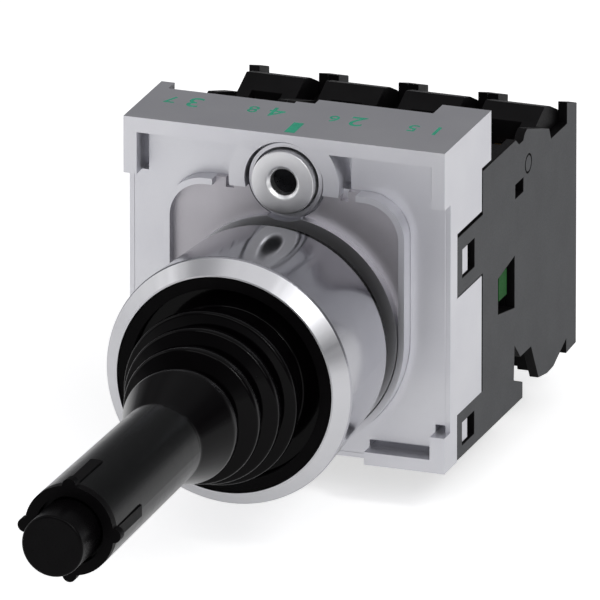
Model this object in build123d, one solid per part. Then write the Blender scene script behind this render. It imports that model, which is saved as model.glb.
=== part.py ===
from build123d import *
import math
import os

# Four-way joystick for a 22 mm panel hole, with its holder and four contact modules.
# Lengths are in millimetres. X is to the right, Y goes into the panel and Z is up.
# The origin is on the lever axis, in the plane where the holder meets the back of the panel.

# Panel and head
panel_thickness = 3.0
collar_radius = 11.0
collar_wall = 1.3
collar_ledge = 2.3
gasket_thickness = 1.0
gasket_inset = 0.35
bezel_back_wall = 0.95
bezel_front_wall = 1.92
bezel_length = 16.5
bezel_cone_rise = 1.75
bezel_lip_width = 0.2
bezel_floor = 1.5
bezel_edge_round = 0.4
seat_gap = 0.15
head_front_wall = 1.6
head_front_opening = 5.95
collar_depth = 3.0

# Bayonet between collar and holder
groove_depth = 0.5
groove_start = 1.1
groove_width = 1.2
lug_gap = 0.1
lug_angle = 24
entry_slot_width = 6.0

# Boot
clamp_ring_height = 0.9
clamp_ring_width = 1.4
flange_thickness = 1.2
flange_width = 2.1
boot_wall = 0.9
crest_places = ((10.66, 5.0), (9.55, 8.0), (8.35, 11.5), (6.98, 15.5))
crest_width = 0.8
valley_depth = 1.7
boot_neck_radius = 5.0
boot_neck_length = 3.0
boot_reach = 21.9
soft_gap = 0.3

# Gimbal
pivot_depth = 6.0
ring_clearance = 1.0
ring_wall = 2.5
ring_half_height = 1.7
hub_clearance = 0.9
hub_half_height = 2.4
pin_radius = 1.0
running_gap = 0.05
free_gap = 0.3
pin_end_inset = 0.2
pin_hold = 1.5
hub_pin_hold = 2.0
tip_radius = 0.9
gimbal_tip_inset = 2.4
gimbal_tip_reach = 3.0
lever_tip_inset = 0.6
lever_tip_reach = 5.0
lever_tip_half_height = 1.2
actuator_front = 3.8
actuator_half_height = 1.6
actuator_core_radius = 4.4

# Lever
stem_radius = 2.5
rod_radius = 1.0
tail_radius = 1.7
tail_end = 9.0
stem_shoulder = 5.3
stem_front = 51.0
rod_tip_reach = 10.0
rod_tip_length = 1.0
spring_seat_thickness = 0.8
spring_seat_width = 2.25
return_spring_radius = 6.6
return_spring_wire = 0.4
return_spring_turns = 4
return_spring_length = 9.4
spring_collar_radius = 7.1
spring_collar_thickness = 1.0
grip_back_radius = 5.1
grip_front_radius = 5.45
grip_length = 29.9
grip_bore_radius = 4.55
spring_chamber_radius = 3.4
spigot_radius = 3.9
spigot_length = 4.2
end_ring_thickness = 1.2
end_ring_opening = 4.15
lobe_radius = 0.85
lobe_centre_radius = 5.45
lobe_count = 4
tab_width = 1.4
tab_length = 8.0
tab_proud = 0.1
tab_gap = 0.1
cap_radius = 3.75
cap_reach = 5.7
cap_edge_round = 0.35
cap_flange_radius = 4.35
cap_flange_thickness = 1.0
cap_travel = 4.0
rod_socket_depth = 4.0
release_spring_radius = 2.4
release_spring_wire = 0.3
release_spring_turns = 5

# Guide disc and transfer sliders
guide_start = -1.0
guide_end = 1.6
gate_half = 3.8
slide_gap = 0.15
inner_bar_width = 2.2
inner_bar_below = 1.2
inner_bar_above = 0.8
outer_bar_inset = 0.6
outer_bar_half_height = 2.2
foot_start = 8.0
foot_end = 9.5
foot_half_height = 1.6
rod_sweep_radius = 5.0

# Holder
holder_side_gap = 0.05
holder_bottom = -15.65
band_height = 1.86
side_leg_width = 1.65
side_leg_bottom = 17.1
floor_depth = 4.1
rim_depth = 2.1
rim_width = 0.6
plate_back = 6.1
wall_back = 13.05
wall_thickness = 1.65
top_wall_thickness = 1.86
top_back_left = 10.9
top_notch_back = 11.6
top_notch_left = -2.6
top_notch_right = -0.3
top_step_right = 13.9
top_corner_back = 16.3
top_corner_low = 18.0
ear_skin = 0.4
arch_half_width = 14.95
arch_top = 17.6
arch_corner_radius = 5.1
arch_rim_width = 0.75
arch_floor_depth = 2.0
arch_gap_half_width = 8.9
seat_ring_radius = 14.05
lug_left = 9.96
lug_height = 1.6
lug_leg_width = 1.83
lug_leg_top = -11.2
upper_notch_low = 4.7
upper_notch_high = 12.7
lower_notch_high = -9.8

# Clamp screw
screw_height = 18.3
foot_radius = 4.0
clamp_foot_thickness = 2.2
foot_hole_radius = 1.6
foot_hole_chamfer = 0.4
recess_radius = 4.9
surround_radius = 6.85
surround_drop = 1.2
screw_cover = 5.83
shank_radius = 1.75
shank_start = 0.9
screw_head_radius = 2.7
screw_head_start = 11.0
screw_head_end = 12.8
screw_slot_width = 0.8
screw_slot_depth = 1.0
clamp_travel = 1.4
boss_radius = 3.6

# Contact modules
module_pitch = 10.0
module_count = 4
module_gap = 0.1
module_front = 13.35
module_back = 46.75
wall_back_low = -15.0
wall_back_high = 15.1
wall_top = 17.6
right_wall = 1.13
left_wall = 1.3
front_wall = 1.15
back_wall = 1.25
back_wall_top = 13.95
back_wall_bottom = -13.4
ear_front = 4.6
ear_thickness = 1.4
ear_lead = 0.7
ear_lead_length = 1.3
upper_ear_low = 4.8
upper_ear_high = 12.2
lower_ear_low = -15.5
lower_ear_high = -9.8
ear_window_front = 6.3
ear_window_back = 10.5
upper_window_low = 6.7
upper_window_high = 10.2
lower_window_low = -14.1
lower_window_high = -11.3
catch_gap = 0.2
catch_length = 2.1
catch_post_width = 1.0
insert_gap = 0.05
insert_wall = 1.4
chamber_wall = 0.8
chamber_gap = 0.2
chamber_half_height = 7.6
chamber_back = 44.0
plunger_tip_half_width = 1.1
plunger_tip_half_height = 1.5
plunger_body_half_height = 3.3
plunger_body_front = 18.2
plunger_body_back = 27.5
carrier_half_width = 1.9
carrier_half_height = 1.6
carrier_back = 32.0
bridge_front = 29.6
bridge_thickness = 0.5
bridge_half_width = 1.2
bridge_half_height = 6.6
contact_height = 5.4
contact_radius = 0.75
contact_thickness = 0.4
contact_gap = 1.75
strip_thickness = 0.5
strip_half_width = 1.3
strip_inner = 4.4
strip_step_height = 8.3
terminal_front = 35.0
terminal_outer = 13.0
terminal_screw_height = 11.0
terminal_screw_radius = 1.9
terminal_shank_radius = 1.0
terminal_head_start = 41.0
terminal_head_end = 43.2
saddle_front = 31.9
saddle_thickness = 0.8
saddle_half_height = 1.9
screw_hole_radius = 2.2
wire_entry_half_width = 1.9
plunger_spring_radius = 1.8
plunger_spring_wire = 0.3
plunger_spring_turns = 5
window_outline = ((18.9, -2.1), (24.7, -3.2), (24.7, 3.2), (18.9, 2.3))
test_hole_outline = ((24.9, 10.3), (27.7, 10.3), (27.7, 12.0), (24.9, 12.0))
wall_lower_outline = (
    (27.7, -15.5), (27.7, -13.5), (24.6, -12.3), (24.8, -8.1), (26.8, -10.1), (30.6, -10.1),
    (33.3, -14.9), (36.4, -15.4), (38.7, -15.3), (43.2, -13.4), (43.2, -15.2),
)
wall_upper_outline = (
    (43.2, 16.3), (43.2, 13.65), (37.6, 13.65), (36.9, 15.1), (34.4, 16.0), (29.0, 17.7),
    (28.2, 17.4), (27.6, 16.7), (26.2, 16.7), (25.0, 17.6),
)
insert_bottom = -13.6
insert_top = 15.9
insert_back_low = -13.0
insert_back_high = 13.5
insert_lower_outline = ((26.0, -13.6), (26.0, -9.6), (33.4, -9.6), (34.4, -14.6), (38.7, -15.0))
insert_upper_outline = (
    (43.2, 15.3), (40.7, 16.5), (38.6, 17.1), (36.0, 16.0), (34.4, 15.4), (34.0, 9.6), (27.4, 9.6),
    (27.4, 15.9),
)
ring_mark_y = 29.5
ring_mark_z = 13.2
ring_mark_radius = 1.22
ring_mark_width = 0.25
ring_mark_depth = 0.2

# Places worked out from the sizes above
seat_y = -panel_thickness
cavity_radius = collar_radius - collar_wall
bezel_mouth_radius = collar_radius + collar_ledge
bezel_back_radius = bezel_mouth_radius + bezel_back_wall
bezel_front_radius = bezel_mouth_radius + bezel_front_wall
gasket_outer_radius = bezel_back_radius - gasket_inset
bezel_back_y = seat_y - gasket_thickness
bezel_front_y = bezel_back_y - bezel_length
bezel_edge_y = bezel_front_y + bezel_cone_rise
clamp_ring_front_y = bezel_front_y + bezel_lip_width
flange_front_y = clamp_ring_front_y + clamp_ring_height
head_front_y = flange_front_y + flange_thickness
head_shoulder_y = bezel_back_y - bezel_floor
head_radius = bezel_mouth_radius - seat_gap
pivot_y = seat_y - pivot_depth
stem_front_y = pivot_y - stem_front
tail_end_y = pivot_y + tail_end
collar_bore_radius = collar_radius + seat_gap
ring_outer_radius = cavity_radius - ring_clearance
ring_inner_radius = ring_outer_radius - ring_wall
hub_radius = ring_inner_radius - hub_clearance
hub_pin_reach = ring_outer_radius - pin_end_inset
hub_pin_start = hub_radius - hub_pin_hold
gimbal_pin_reach = head_radius - pin_end_inset
gimbal_pin_start = ring_outer_radius - pin_hold
gimbal_tip_side = module_pitch / 2
gimbal_tip_height = ring_outer_radius - gimbal_tip_inset
spring_seat_radius = head_front_opening + spring_seat_width
inner_bar_low = gimbal_tip_height - inner_bar_below
inner_bar_high = gimbal_tip_height + inner_bar_above
outer_bar_far = cavity_radius - outer_bar_inset
outer_bar_near = gimbal_tip_side + inner_bar_width / 2 + free_gap
lever_tip_side = outer_bar_near + lever_tip_inset
boot_neck_y = bezel_front_y - boot_reach
grip_back_y = boot_neck_y - soft_gap
grip_front_y = grip_back_y - grip_length
end_ring_back_y = grip_front_y + end_ring_thickness
cap_front_y = grip_front_y - cap_reach
cap_flange_front_y = end_ring_back_y + seat_gap
cap_back_y = cap_flange_front_y + cap_flange_thickness
cap_chamber_back_y = cap_back_y + cap_travel + free_gap
gimbal_tip_y = pivot_y + gimbal_tip_reach
lever_tip_y = pivot_y + lever_tip_reach
inner_bar_front_y = gimbal_tip_y + tip_radius + free_gap
outer_bar_front_y = lever_tip_y + tip_radius + free_gap
spring_seat_front_y = head_front_y - spring_seat_thickness
spring_collar_back_y = spring_seat_front_y - return_spring_length
holder_top = screw_height + screw_cover
surround_bottom = screw_height - surround_drop
holder_half_width = module_count * module_pitch / 2 - holder_side_gap
ear_pocket_y = floor_depth + ear_skin
boss_end_y = screw_head_start - clamp_travel - free_gap
module_width = module_pitch - module_gap
chamber_half_width = module_width / 2 - left_wall - insert_gap - chamber_wall
plunger_body_half_width = chamber_half_width - chamber_gap
insert_front_y = module_front + front_wall + insert_gap
insert_back_y = module_back - back_wall - insert_gap
fixed_pad_front_y = bridge_front + bridge_thickness + contact_thickness + contact_gap
strip_front_y = fixed_pad_front_y + contact_thickness
module_centres = [module_pitch * (i - (module_count - 1) / 2) for i in range(module_count)]


def box(x0, x1, y0, y1, z0, z1):
    """A block between two corners."""
    centre = ((x0 + x1) / 2, (y0 + y1) / 2, (z0 + z1) / 2)
    return Pos(*centre) * Box(abs(x1 - x0), abs(y1 - y0), abs(z1 - z0))


def rod_y(radius, y0, y1, x=0.0, z=0.0):
    """A round bar along Y."""
    return Pos(x, (y0 + y1) / 2, z) * Rot(90, 0, 0) * Cylinder(radius, abs(y1 - y0))


def ring_y(outer, inner, y0, y1, x=0.0, z=0.0):
    """A round tube along Y."""
    return rod_y(outer, y0, y1, x, z) - rod_y(inner, y0 - 1, y1 + 1, x, z)


def turned(points):
    """A body of revolution about the lever axis, from (radius, y) points."""
    return revolve(make_face(Polyline(*points, close=True)), Axis.Y)


def prism_x(points, x0, x1):
    """A (y, z) outline drawn out along X."""
    face = Plane((x0, 0, 0), x_dir=(0, 1, 0), z_dir=(1, 0, 0)) * make_face(
        Polyline(*points, close=True)
    )
    return extrude(face, x1 - x0)


def prism_y(sketch, y0, y1):
    """An (x, z) sketch drawn out along Y."""
    return extrude(Plane((0, y1, 0), x_dir=(1, 0, 0), z_dir=(0, -1, 0)) * sketch, y1 - y0)


def prism_z(points, z0, z1):
    """An (x, y) outline drawn out along Z."""
    face = Plane((0, 0, z0)) * make_face(Polyline(*points, close=True))
    return extrude(face, z1 - z0)


def rectangle(x0, x1, z0, z1):
    """A flat rectangle in an (x, z) sketch."""
    return Pos((x0 + x1) / 2, (z0 + z1) / 2) * Rectangle(x1 - x0, z1 - z0)


def coil(radius, wire, y0, y1, turns, x=0.0, z=0.0):
    """A compression spring along Y, whose wire lies between y0 and y1."""
    height = abs(y1 - y0) - 2 * wire
    path = Helix(height / turns, height, radius, center=(0, 0, 0), direction=(0, 0, 1))
    section = Plane(path @ 0, z_dir=path % 0) * RegularPolygon(wire, 6)
    spring = sweep(section, path=path, is_frenet=True)
    return Pos(x, min(y0, y1) + wire, z) * Rot(-90, 0, 0) * spring


# Head


def bezel_ring():
    """Metal ring with a bevelled front and a floor that presses on the gasket."""
    profile = [
        (bezel_back_radius, bezel_back_y),
        (bezel_front_radius, bezel_edge_y),
        (bezel_mouth_radius + bezel_lip_width, bezel_front_y),
        (bezel_mouth_radius, bezel_front_y),
        (bezel_mouth_radius, head_shoulder_y),
        (collar_radius + seat_gap, head_shoulder_y),
        (collar_radius + seat_gap, bezel_back_y),
    ]
    ring = turned(profile)
    outer_edges = ring.edges().filter_by(GeomType.CIRCLE).sort_by(SortBy.RADIUS)[-2:]
    return fillet(outer_edges, bezel_edge_round)


def boot_clamp_ring():
    outer = head_radius
    return ring_y(outer, outer - clamp_ring_width, clamp_ring_front_y, flange_front_y)


def rubber_boot():
    """Bellows with four ridges, from a clamped flange to a neck round the grip's spigot."""
    outside = [(head_radius, head_front_y), (head_radius, flange_front_y)]
    outside.append((head_radius - flange_width, flange_front_y))
    previous = head_radius - flange_width
    for radius, reach in crest_places:
        crest_y = bezel_front_y - reach
        valley_radius = min(previous, radius) - valley_depth
        half_way = (outside[-1][1] + crest_y) / 2
        outside.append((valley_radius + crest_width / 2, half_way + crest_width / 2))
        outside.append((valley_radius + crest_width / 2, half_way - crest_width / 2))
        outside.append((radius, crest_y + crest_width / 2))
        outside.append((radius, crest_y - crest_width / 2))
        previous = radius
    neck_start = boot_neck_y + boot_neck_length
    outside.append((boot_neck_radius, neck_start))
    outside.append((boot_neck_radius, boot_neck_y))
    neck_inner = spigot_radius + soft_gap
    inside = [(neck_inner, boot_neck_y), (neck_inner, neck_start)]
    for radius, y in reversed(outside[3:-2]):
        inside.append((radius - boot_wall, y))
    inside.append((head_radius - flange_width - boot_wall, flange_front_y))
    inside.append((head_radius - flange_width - boot_wall, head_front_y))
    return turned(outside + inside)


def front_gasket():
    return ring_y(gasket_outer_radius, collar_radius + soft_gap, bezel_back_y, seat_y)


def head_body():
    """Guide barrel and 22 mm collar in one piece, with bores for the gimbal pins."""
    profile = [
        (head_radius, head_shoulder_y),
        (head_radius, head_front_y),
        (head_front_opening, head_front_y),
        (head_front_opening, head_front_y + head_front_wall),
        (cavity_radius, head_front_y + head_front_wall),
        (cavity_radius, collar_depth),
        (collar_radius, collar_depth),
        (collar_radius, head_shoulder_y),
    ]
    body = turned(profile)
    groove_end = groove_start + groove_width
    body -= ring_y(collar_radius + 1, collar_radius - groove_depth, groove_start, groove_end)
    slot_half = entry_slot_width / 2
    inner = collar_radius - groove_depth
    for side in (-1, 1):
        body -= box(
            side * inner, side * (collar_radius + 1), groove_start, collar_depth + 1, -slot_half, slot_half
        )
        pin_bore = Rot(0, 90, 0) * Cylinder(pin_radius + running_gap, head_radius)
        body -= Pos(side * head_radius, pivot_y, 0) * pin_bore
    return body


def bar_windows():
    """Where the four transfer sliders pass, as (x0, x1, z0, z1), without clearance."""
    far_inner = gimbal_tip_side + inner_bar_width / 2
    near_inner = gimbal_tip_side - inner_bar_width / 2
    return [
        (-outer_bar_far, -outer_bar_near, -outer_bar_half_height, outer_bar_half_height),
        (-far_inner, -near_inner, -inner_bar_high, -inner_bar_low),
        (near_inner, far_inner, inner_bar_low, inner_bar_high),
        (outer_bar_near, outer_bar_far, -outer_bar_half_height, outer_bar_half_height),
    ]


def guide_disc():
    """Disc pressed into the collar, with the gate for the lever and notches for the sliders."""
    disc = rod_y(cavity_radius, guide_start, guide_end)
    disc -= box(-gate_half, gate_half, guide_start - 1, guide_end + 1, -gate_half, gate_half)
    for x0, x1, z0, z1 in bar_windows():
        if abs(x0) > inner_bar_high or abs(x1) > inner_bar_high:
            x0, x1 = (x0, cavity_radius) if x0 > 0 else (-cavity_radius, x1)
        elif z0 > 0:
            z1 = cavity_radius
        else:
            z0 = -cavity_radius
        disc -= box(
            x0 - slide_gap, x1 + slide_gap, guide_start - 1, guide_end + 1, z0 - slide_gap, z1 + slide_gap
        )
    return disc


def spring_seat():
    return ring_y(spring_seat_radius, head_front_opening, spring_seat_front_y, head_front_y)


def return_spring():
    return coil(
        return_spring_radius,
        return_spring_wire,
        spring_collar_back_y,
        spring_seat_front_y,
        return_spring_turns,
    )


# Gimbal and lever


def gimbal_ring():
    """Ring between head and hub, with two posts that push the inner sliders."""
    half = ring_half_height
    ring = ring_y(ring_outer_radius, ring_inner_radius, pivot_y - half, pivot_y + half)
    for side in (-1, 1):
        x = side * gimbal_tip_side
        z = side * gimbal_tip_height
        ring += rod_y(tip_radius, pivot_y, gimbal_tip_y, x, z)
        ring += Pos(x, gimbal_tip_y, z) * Sphere(tip_radius)
        ring -= Pos(side * gimbal_pin_reach, pivot_y, 0) * Rot(0, 90, 0) * Cylinder(
            pin_radius, 2 * (gimbal_pin_reach - gimbal_pin_start)
        )
        ring -= Pos(0, pivot_y, side * hub_pin_reach) * Cylinder(
            pin_radius + running_gap, 2 * (hub_pin_reach - ring_inner_radius + 1)
        )
    return ring


def gimbal_pins():
    length = gimbal_pin_reach - gimbal_pin_start
    pins = []
    for side in (-1, 1):
        middle = side * (gimbal_pin_start + length / 2)
        pins.append(Pos(middle, pivot_y, 0) * Rot(0, 90, 0) * Cylinder(pin_radius, length))
    return pins


def hub_pins():
    length = hub_pin_reach - hub_pin_start
    pins = []
    for side in (-1, 1):
        pins.append(Pos(0, pivot_y, side * (hub_pin_start + length / 2)) * Cylinder(pin_radius, length))
    return pins


def stem_hub():
    hub = ring_y(hub_radius, stem_radius, pivot_y - hub_half_height, pivot_y + hub_half_height)
    for side in (-1, 1):
        hub -= Pos(0, pivot_y, side * (hub_pin_start + hub_radius)) * Cylinder(pin_radius, 2 * hub_radius)
    return hub


def stem():
    """Steel tube from the grip to the gate, bored for the release rod."""
    shoulder = pivot_y + stem_shoulder
    tube = rod_y(stem_radius, stem_front_y, shoulder) + rod_y(tail_radius, shoulder, tail_end_y)
    return tube - rod_y(rod_radius + running_gap, stem_front_y - 1, tail_end_y + 1)


def actuator_plate():
    """Cross bar on the stem whose round ends push the outer sliders."""
    y0 = pivot_y + actuator_front
    half = actuator_half_height
    plate = box(-lever_tip_side, lever_tip_side, y0, lever_tip_y, -half, half)
    plate += rod_y(actuator_core_radius, y0, lever_tip_y)
    for side in (-1, 1):
        plate += Pos(side * lever_tip_side, lever_tip_y, 0) * Cylinder(
            tip_radius, 2 * lever_tip_half_height
        )
    return plate - rod_y(stem_radius, y0 - 1, lever_tip_y + 1)


def spring_collar():
    front = spring_collar_back_y - spring_collar_thickness
    return ring_y(spring_collar_radius, stem_radius, front, spring_collar_back_y)


def lobe_angles():
    return [360 / lobe_count * i for i in range(lobe_count)]


def grip():
    """Slightly flared handle with four slots open to its front end."""
    profile = [
        (stem_radius, grip_back_y + spigot_length),
        (spigot_radius, grip_back_y + spigot_length),
        (spigot_radius, grip_back_y),
        (grip_back_radius, grip_back_y),
        (grip_front_radius, end_ring_back_y),
        (grip_bore_radius, end_ring_back_y),
        (grip_bore_radius, cap_chamber_back_y),
        (spring_chamber_radius, cap_chamber_back_y),
        (spring_chamber_radius, stem_front_y),
        (stem_radius, stem_front_y),
    ]
    body = turned(profile)
    slot_half = tab_width / 2 + tab_gap
    slot_end = end_ring_back_y + tab_length + tab_gap
    for angle in lobe_angles():
        slot = box(
            0, grip_front_radius + 1, end_ring_back_y - 1, slot_end, -slot_half, slot_half
        ) - rod_y(grip_bore_radius - tab_gap, end_ring_back_y - 2, slot_end + 1)
        body -= Rot(0, angle, 0) * slot
    return body


def end_ring():
    """Star-shaped ring at the grip's end, with four lobes and tabs in the slots."""
    ring = rod_y(grip_front_radius, grip_front_y, end_ring_back_y)
    for angle in lobe_angles():
        lobe = rod_y(lobe_radius, grip_front_y, end_ring_back_y, lobe_centre_radius)
        tab = box(
            0,
            grip_front_radius + tab_proud,
            end_ring_back_y - end_ring_thickness / 2,
            end_ring_back_y + tab_length,
            -tab_width / 2,
            tab_width / 2,
        ) - rod_y(grip_bore_radius, end_ring_back_y - end_ring_thickness, end_ring_back_y + tab_length + 1)
        ring += Rot(0, angle, 0) * lobe
        ring += Rot(0, angle, 0) * tab
    return ring - rod_y(end_ring_opening, grip_front_y - 1, end_ring_back_y + 1)


def release_cap():
    cap = rod_y(cap_radius, cap_front_y, cap_back_y)
    front_edge = cap.edges().filter_by(GeomType.CIRCLE).sort_by(Axis.Y)[0]
    cap = fillet(front_edge, cap_edge_round)
    cap += rod_y(cap_flange_radius, cap_flange_front_y, cap_back_y)
    return cap - rod_y(rod_radius, cap_back_y - rod_socket_depth, cap_back_y + 1)


def release_rod():
    """Rod through the stem, with a tapered locking tip."""
    tip_y = pivot_y + rod_tip_reach
    profile = [
        (0, cap_back_y - rod_socket_depth),
        (rod_radius, cap_back_y - rod_socket_depth),
        (rod_radius, tip_y - rod_tip_length),
        (rod_radius / 2, tip_y),
        (0, tip_y),
    ]
    return turned(profile)


def release_spring():
    return coil(
        release_spring_radius, release_spring_wire, cap_back_y, stem_front_y, release_spring_turns
    )


# Holder


def arch_sketch(inset):
    """Arch outline: a half circle below, straight sides and rounded upper corners."""
    half = arch_half_width - inset
    top = arch_top - inset
    corner = arch_corner_radius - inset
    shape = Circle(half)
    shape += rectangle(-half, half, 0, top - corner)
    shape += rectangle(corner - half, half - corner, 0, top)
    for side in (-1, 1):
        shape += Pos(side * (half - corner), top - corner) * Circle(corner)
    return shape


def holder_outline():
    return rectangle(-holder_half_width, holder_half_width, holder_bottom, holder_top)


def top_wall():
    """Roof of the holder, with its stepped rear edge and the deep right corner."""
    side = holder_half_width
    points = [
        (-side, 0),
        (side, 0),
        (side, top_corner_back),
        (top_step_right, top_corner_back),
        (top_step_right, wall_back),
        (top_notch_right, wall_back),
        (top_notch_right, top_notch_back),
        (top_notch_left, top_notch_back),
        (top_notch_left, top_back_left),
        (-side, top_back_left),
    ]
    return prism_z(points, holder_top - top_wall_thickness, holder_top)


def side_walls():
    walls = Part()
    for side in (-1, 1):
        outer = side * holder_half_width
        inner = side * (holder_half_width - wall_thickness)
        walls += box(inner, outer, floor_depth, wall_back, holder_bottom, holder_top)
        rim = side * (holder_half_width - rim_width)
        walls += box(rim, outer, rim_depth, floor_depth, holder_bottom, holder_top)
        leg = side * (holder_half_width - side_leg_width)
        walls += box(leg, outer, 0, floor_depth, side_leg_bottom, holder_top)
        foot_leg = side * (holder_half_width - lug_leg_width)
        walls += box(foot_leg, outer, 0, floor_depth, holder_bottom, lug_leg_top)
        lug = side * lug_left
        walls += box(lug, outer, 0, floor_depth, holder_bottom, holder_bottom + lug_height)
    inner = holder_half_width - wall_thickness
    walls += box(inner, holder_half_width, wall_back, top_corner_back, top_corner_low, holder_top)
    rim_top = holder_bottom + rim_width
    walls += box(-holder_half_width, holder_half_width, rim_depth, floor_depth, holder_bottom, rim_top)
    return walls


def slider_opening():
    """Opening in the holder's wall for the sliders and the swinging rod tip."""
    opening = Circle(rod_sweep_radius)
    reach = foot_half_height + free_gap
    for x0, x1, z0, z1 in bar_windows():
        low = min(z0, -reach) - free_gap
        high = max(z1, reach) + free_gap
        opening += rectangle(x0 - free_gap, x1 + free_gap, low, high)
    return opening


def ear_places():
    """Each ear as (outer face x, direction to the module's inside, low z, high z)."""
    places = []
    for centre in module_centres:
        for side in (-1, 1):
            outer = centre + side * module_width / 2
            places.append((outer, -side, upper_ear_low, upper_ear_high))
            places.append((outer, -side, lower_ear_low, lower_ear_high))
    return places


def catches():
    """Posts behind the plate whose noses stand in the windows of the modules' ears."""
    posts = Part()
    for outer, inward, ear_low, _ in ear_places():
        upper = ear_low > 0
        low = (upper_window_low if upper else lower_window_low) + catch_gap
        high = (upper_window_high if upper else lower_window_high) - catch_gap
        front = ear_window_front + catch_gap
        ear_inside = outer + inward * (ear_thickness + catch_gap)
        post_inside = ear_inside + inward * catch_post_width
        posts += box(ear_inside, post_inside, plate_back - ear_skin, front + catch_length, low, high)
        nose_face = outer + inward * catch_gap
        posts += box(nose_face, ear_inside, front, front + catch_length, low, high)
    return posts


def ear_pockets():
    pockets = Part()
    half = holder_half_width + 1
    depth = ear_thickness + catch_gap
    for centre in module_centres:
        for side in (-1, 1):
            outer = centre + side * module_pitch / 2
            inner = outer - side * depth
            outer = side * half if abs(outer) > holder_half_width else outer
            for low, high in ((upper_notch_low, upper_notch_high), (holder_bottom - 1, lower_notch_high)):
                pockets += box(inner, outer, ear_pocket_y, wall_back + 1, low, high)
    return pockets


def holder():
    """Die-cast frame: plate with the arched seat, walls, roof, catches and screw boss."""
    body = prism_y(holder_outline(), floor_depth, plate_back)
    body += side_walls()
    body += top_wall()
    body += box(
        -holder_half_width, holder_half_width, 0, floor_depth, holder_top - band_height, holder_top
    )
    surround = Circle(surround_radius) - Circle(recess_radius)
    surround = Pos(0, screw_height) * surround
    surround_low = screw_height - surround_radius
    surround -= rectangle(-surround_radius, surround_radius, surround_low, surround_bottom)
    surround -= rectangle(-surround_radius, surround_radius, holder_top, holder_top + surround_radius)
    body += prism_y(surround, 0, floor_depth)
    body += prism_y(arch_sketch(0), arch_floor_depth, floor_depth)
    rim = arch_sketch(0) - arch_sketch(arch_rim_width)
    rim -= rectangle(-arch_gap_half_width, arch_gap_half_width, 0, arch_top)
    body += prism_y(rim, 0, arch_floor_depth)
    body += ring_y(seat_ring_radius, collar_radius, 0, arch_floor_depth)
    body += rod_y(boss_radius, plate_back, boss_end_y, 0, screw_height)
    body -= rod_y(recess_radius, -1, floor_depth - arch_floor_depth, 0, screw_height)
    body -= rod_y(collar_bore_radius, -1, collar_depth + lug_gap)
    body -= prism_y(slider_opening(), collar_depth, plate_back + 1)
    body -= rod_y(foot_radius + seat_gap, -1, clamp_foot_thickness + seat_gap, 0, screw_height)
    body -= rod_y(shank_radius + running_gap, 0, boss_end_y + 1, 0, screw_height)
    body -= ear_pockets()
    body += catches()
    return body + bayonet_lugs()


def bayonet_lugs():
    """Two inward lugs that stand in the collar's groove."""
    inner = collar_radius - groove_depth + lug_gap
    y0 = groove_start + lug_gap
    y1 = groove_start + groove_width - lug_gap
    ring = ring_y(collar_bore_radius + 1, inner, y0, y1)
    reach = 2 * collar_radius
    half = reach * math.tan(math.radians(lug_angle / 2))
    wedge = make_face(Polyline((0, 0), (half, reach), (-half, reach), close=True))
    wedges = wedge + Rot(0, 0, 180) * wedge
    return ring & prism_y(wedges, y0, y1)


def clamp_foot():
    """Round pressure foot, flush with the holder's front face."""
    foot = rod_y(foot_radius, 0, clamp_foot_thickness, 0, screw_height)
    foot -= rod_y(foot_hole_radius, -1, clamp_foot_thickness + 1, 0, screw_height)
    front_edge = foot.edges().filter_by(GeomType.CIRCLE).group_by(Axis.Y)[0].sort_by(SortBy.RADIUS)[0]
    foot = chamfer(front_edge, foot_hole_chamfer)
    return foot - rod_y(shank_radius + running_gap, shank_start, clamp_foot_thickness + 1, 0, screw_height)


def clamp_screw():
    screw = rod_y(shank_radius, shank_start + lug_gap, screw_head_start, 0, screw_height)
    screw += rod_y(screw_head_radius, screw_head_start, screw_head_end, 0, screw_height)
    slot = screw_slot_width / 2
    low = screw_height - screw_head_radius - 1
    high = screw_height + screw_head_radius + 1
    slot_start = screw_head_end - screw_slot_depth
    return screw - box(-slot, slot, slot_start, screw_head_end + 1, low, high)


# Contact modules


def wall_outline():
    """Outline of a module's side wall as (y, z), without its ears."""
    outline = [(module_front, lower_ear_low), *wall_lower_outline]
    outline += [(module_back, wall_back_low), (module_back, wall_back_high)]
    return [*outline, *wall_upper_outline, (module_front, wall_top)]


def insert_outline():
    """Outline of the dark terminal insert between the walls, as (y, z)."""
    outline = [(insert_front_y, insert_bottom), *insert_lower_outline]
    outline += [(insert_back_y, insert_back_low), (insert_back_y, insert_back_high)]
    return [*outline, *insert_upper_outline, (insert_front_y, insert_top)]


def ears(centre):
    """Four flexible ears with catch windows and lead-in tips, at the walls' front ends."""
    group = Part()
    for side in (-1, 1):
        outer = centre + side * module_width / 2
        inner = outer - side * ear_thickness
        tip = outer - side * ear_lead
        points = [
            (outer, ear_front),
            (outer, module_front + front_wall),
            (inner, module_front + front_wall),
            (inner, ear_front + ear_lead_length),
            (tip, ear_front),
        ]
        for low, high in ((upper_ear_low, upper_ear_high), (lower_ear_low, lower_ear_high)):
            group += prism_z(points, low, high)
    for low, high in ((upper_window_low, upper_window_high), (lower_window_low, lower_window_high)):
        reach = module_pitch / 2
        group -= box(
            centre - reach, centre + reach, ear_window_front, ear_window_back, low, high
        )
    return group


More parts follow.
